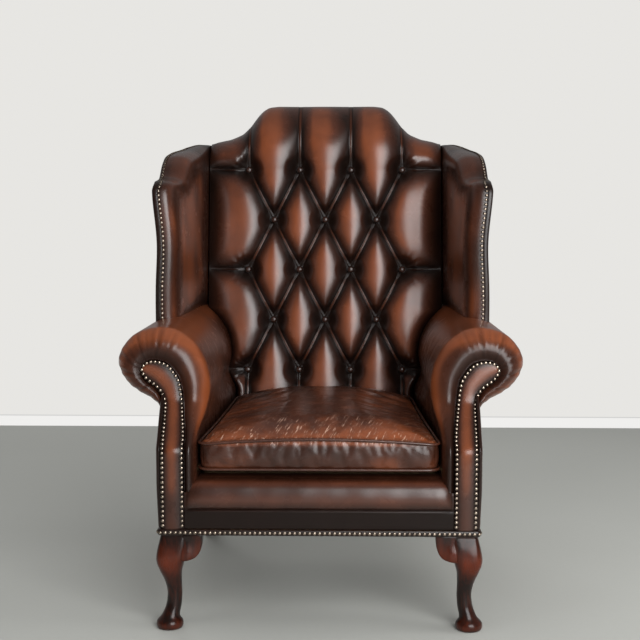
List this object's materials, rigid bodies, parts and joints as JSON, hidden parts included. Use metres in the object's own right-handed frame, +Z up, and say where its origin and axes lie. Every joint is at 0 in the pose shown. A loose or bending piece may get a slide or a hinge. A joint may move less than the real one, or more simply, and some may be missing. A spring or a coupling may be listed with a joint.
{
  "type": "wingback chair",
  "caption": "Deep-buttoned leather wing armchair with scroll arms, cabriole front legs and a loose piped seat cushion.",
  "frame": {"origin": "on the floor under the middle of the chair, which is the bottom centre of its box", "axes": "+Z up, +X to the right of the chair seen from the front, -Y towards the front"},
  "size_m": [0.828, 0.8228, 1.084],
  "materials": {
    "antique_leather": "glossy antiqued hide, brown with orange-brown high spots",
    "dark_leather": "glossy antiqued hide, very dark brown",
    "mahogany_legs": "mahogany-stained hardwood, satin polish",
    "beech_frame": "planed beech, unfinished",
    "webbing": "woven jute webbing",
    "deck_cloth": "dark platform cloth over stuffing",
    "dust_cloth": "black bottoming cloth",
    "foam": "upholstery foam, open cell",
    "zip_tape": "woven zip tape with nylon teeth",
    "aged_brass": "aged brass"
  },
  "bodies": {
    "chair": {"front_leg_left": "mahogany_legs", "front_leg_right": "mahogany_legs", "knee_blocks": "mahogany_legs", "back_post_left": "mahogany_legs", "back_post_right": "mahogany_legs", "front_rail": "beech_frame", "side_rail_left": "beech_frame", "side_rail_right": "beech_frame", "back_rail": "beech_frame", "corner_blocks": "beech_frame", "arm_stump_left": "beech_frame", "arm_stump_right": "beech_frame", "arm_rail_left": "beech_frame", "arm_rail_right": "beech_frame", "arm_stay_left": "beech_frame", "arm_stay_right": "beech_frame", "crest_rail": "beech_frame", "lower_back_rail": "beech_frame", "wing_post_left": "beech_frame", "wing_post_right": "beech_frame", "wing_rail_left": "beech_frame", "wing_rail_right": "beech_frame", "seat_webbing": "webbing", "back_webbing": "webbing", "seat_deck": "deck_cloth", "front_border": "antique_leather", "border_band": "dark_leather", "dust_cover": "dust_cloth", "inside_arm_left": "antique_leather", "inside_arm_right": "antique_leather", "arm_facing_left": "antique_leather", "arm_facing_right": "antique_leather", "outside_arm_left": "dark_leather", "outside_arm_right": "dark_leather", "inside_wing_left": "antique_leather", "inside_wing_right": "antique_leather", "arm_end_left": "dark_leather", "arm_end_right": "dark_leather", "outside_wing_left": "dark_leather", "outside_wing_right": "dark_leather", "wing_band_left": "dark_leather", "wing_band_right": "dark_leather", "inside_back": "antique_leather", "back_foam": "foam", "back_buttons": "dark_leather", "outside_back": "dark_leather"},
    "seat_cushion": {"cushion_cover": "antique_leather", "cushion_core": "foam", "cushion_piping": "dark_leather", "cushion_zip": "zip_tape"},
    "zip_pull": {"zip_slider": "aged_brass"}
  },
  "joints": [
    {"name": "cushion_slide", "type": "slide", "parent": "chair", "child": "seat_cushion", "axis": [0, -1, 0], "range_m": [0, 0.3]},
    {"name": "zip_slide", "type": "slide", "parent": "seat_cushion", "child": "zip_pull", "axis": [-1, 0, 0], "range_m": [0, 0.278]}
  ]
}
